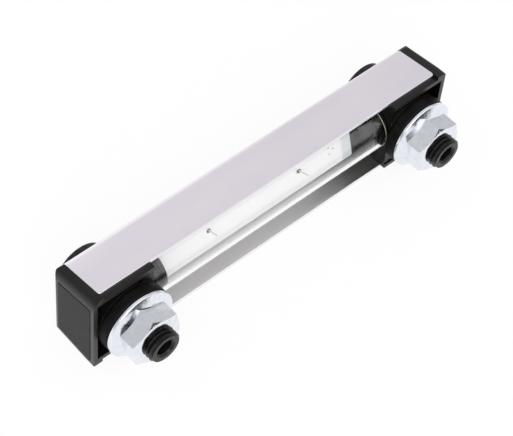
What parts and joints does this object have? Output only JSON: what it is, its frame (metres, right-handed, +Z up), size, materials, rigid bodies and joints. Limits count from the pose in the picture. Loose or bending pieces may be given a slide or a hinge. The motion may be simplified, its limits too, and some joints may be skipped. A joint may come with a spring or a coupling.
{
  "type": "tank level gauge",
  "caption": "Oil level gauge for a tank wall: clear sight tube in a folded aluminium cover, black moulded end caps, hollow bolts with flange nuts and thick rubber seals.",
  "frame": {"origin": "Midway between the two bolts, on the plane of the end caps' rear edges, which faces the tank.", "axes": "+X runs along the gauge from the left bolt to the right one, +Y points away from the tank to the front, +Z is up with the gauge lying on its long side."},
  "size_m": [0.1564, 0.0429, 0.0336],
  "materials": {
    "cover_aluminium": "satin anodised",
    "cap_plastic": "fine grain",
    "tube_clear": "clear polished",
    "strip_white": "matt white",
    "pin_white": "satin",
    "bolt_black": "black oxide, oiled",
    "nut_zinc": "bright zinc",
    "seal_rubber": "moulded"
  },
  "bodies": {
    "root": {"front_cover": "cover_aluminium", "end_cap_left": "cap_plastic", "end_cap_right": "cap_plastic", "sight_tube": "tube_clear", "contrast_strip": "strip_white", "spacer_pin_left": "pin_white", "spacer_pin_right": "pin_white", "hollow_bolt_left": "bolt_black", "hollow_bolt_right": "bolt_black", "flange_nut_left": "nut_zinc", "flange_nut_right": "nut_zinc", "wall_seal_left": "seal_rubber", "wall_seal_right": "seal_rubber", "front_seal_left": "seal_rubber", "front_seal_right": "seal_rubber", "tube_seal_left_outer": "seal_rubber", "tube_seal_left_inner": "seal_rubber", "tube_seal_right_outer": "seal_rubber", "tube_seal_right_inner": "seal_rubber"}
  },
  "joints": []
}
